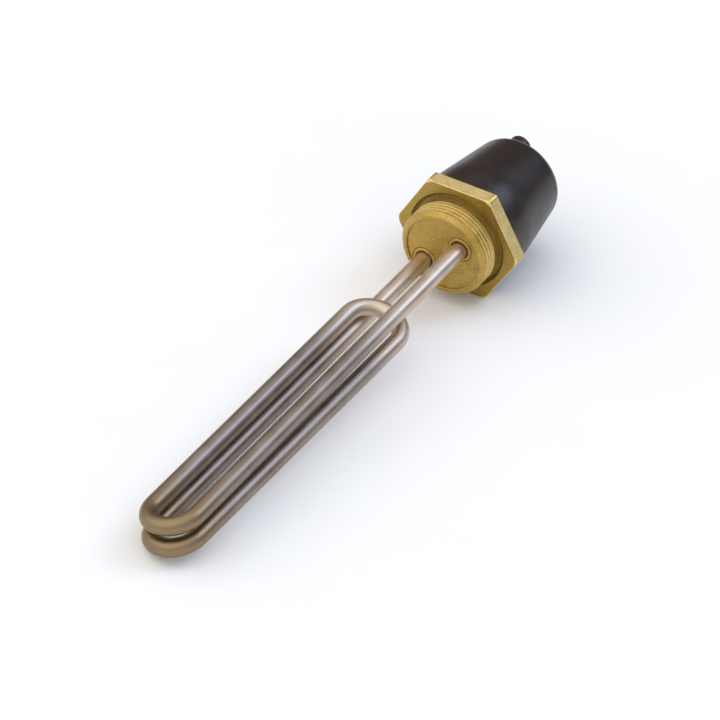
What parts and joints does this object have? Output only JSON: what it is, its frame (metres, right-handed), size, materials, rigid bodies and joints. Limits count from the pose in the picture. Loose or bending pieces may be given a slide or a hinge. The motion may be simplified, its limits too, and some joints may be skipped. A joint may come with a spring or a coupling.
{
  "type": "immersion heating element",
  "caption": "Screw-in immersion heating element: brass hexagon plug with pipe thread, one steel-sheathed element folded into four legs, and a push-on terminal hood.",
  "frame": {"origin": "middle of the hexagon's front face, on the thread's axis", "axes": "+X along the thread's axis towards the far end of the element, +Z square to the top flat of the hexagon"},
  "size_m": [0.3249, 0.0686, 0.06],
  "materials": {
    "brass": "machined",
    "brass_screw": "turned",
    "nut_brass": "turned",
    "sheath_steel": "annealed satin",
    "stud_steel": "thread rolled",
    "zinc_steel": "zinc plated",
    "spring_steel": "zinc plated",
    "resistance_alloy": "drawn",
    "magnesia": "pressed powder",
    "steatite": "fired matt",
    "seal_rubber": "cured",
    "hood_plastic": "moulded"
  },
  "bodies": {
    "heater": {"plug_body": "brass", "heater_sheath": "sheath_steel", "magnesia_fill": "magnesia", "resistance_coil": "resistance_alloy", "front_terminal_pin": "stud_steel", "front_end_seal": "seal_rubber", "front_ceramic_bush": "steatite", "front_inner_nut": "nut_brass", "front_plain_washer": "zinc_steel", "front_spring_washer": "spring_steel", "front_outer_nut": "nut_brass", "rear_terminal_pin": "stud_steel", "rear_end_seal": "seal_rubber", "rear_ceramic_bush": "steatite", "rear_inner_nut": "nut_brass", "rear_plain_washer": "zinc_steel", "rear_spring_washer": "spring_steel", "rear_outer_nut": "nut_brass", "earth_washer": "zinc_steel", "earth_spring_washer": "spring_steel", "earth_screw": "brass_screw"},
    "hood": {"terminal_hood": "hood_plastic"}
  },
  "joints": [
    {"name": "hood_slide", "type": "slide", "parent": "heater", "child": "hood", "axis": [-1, 0, 0], "range_m": [0, 0.06]}
  ]
}
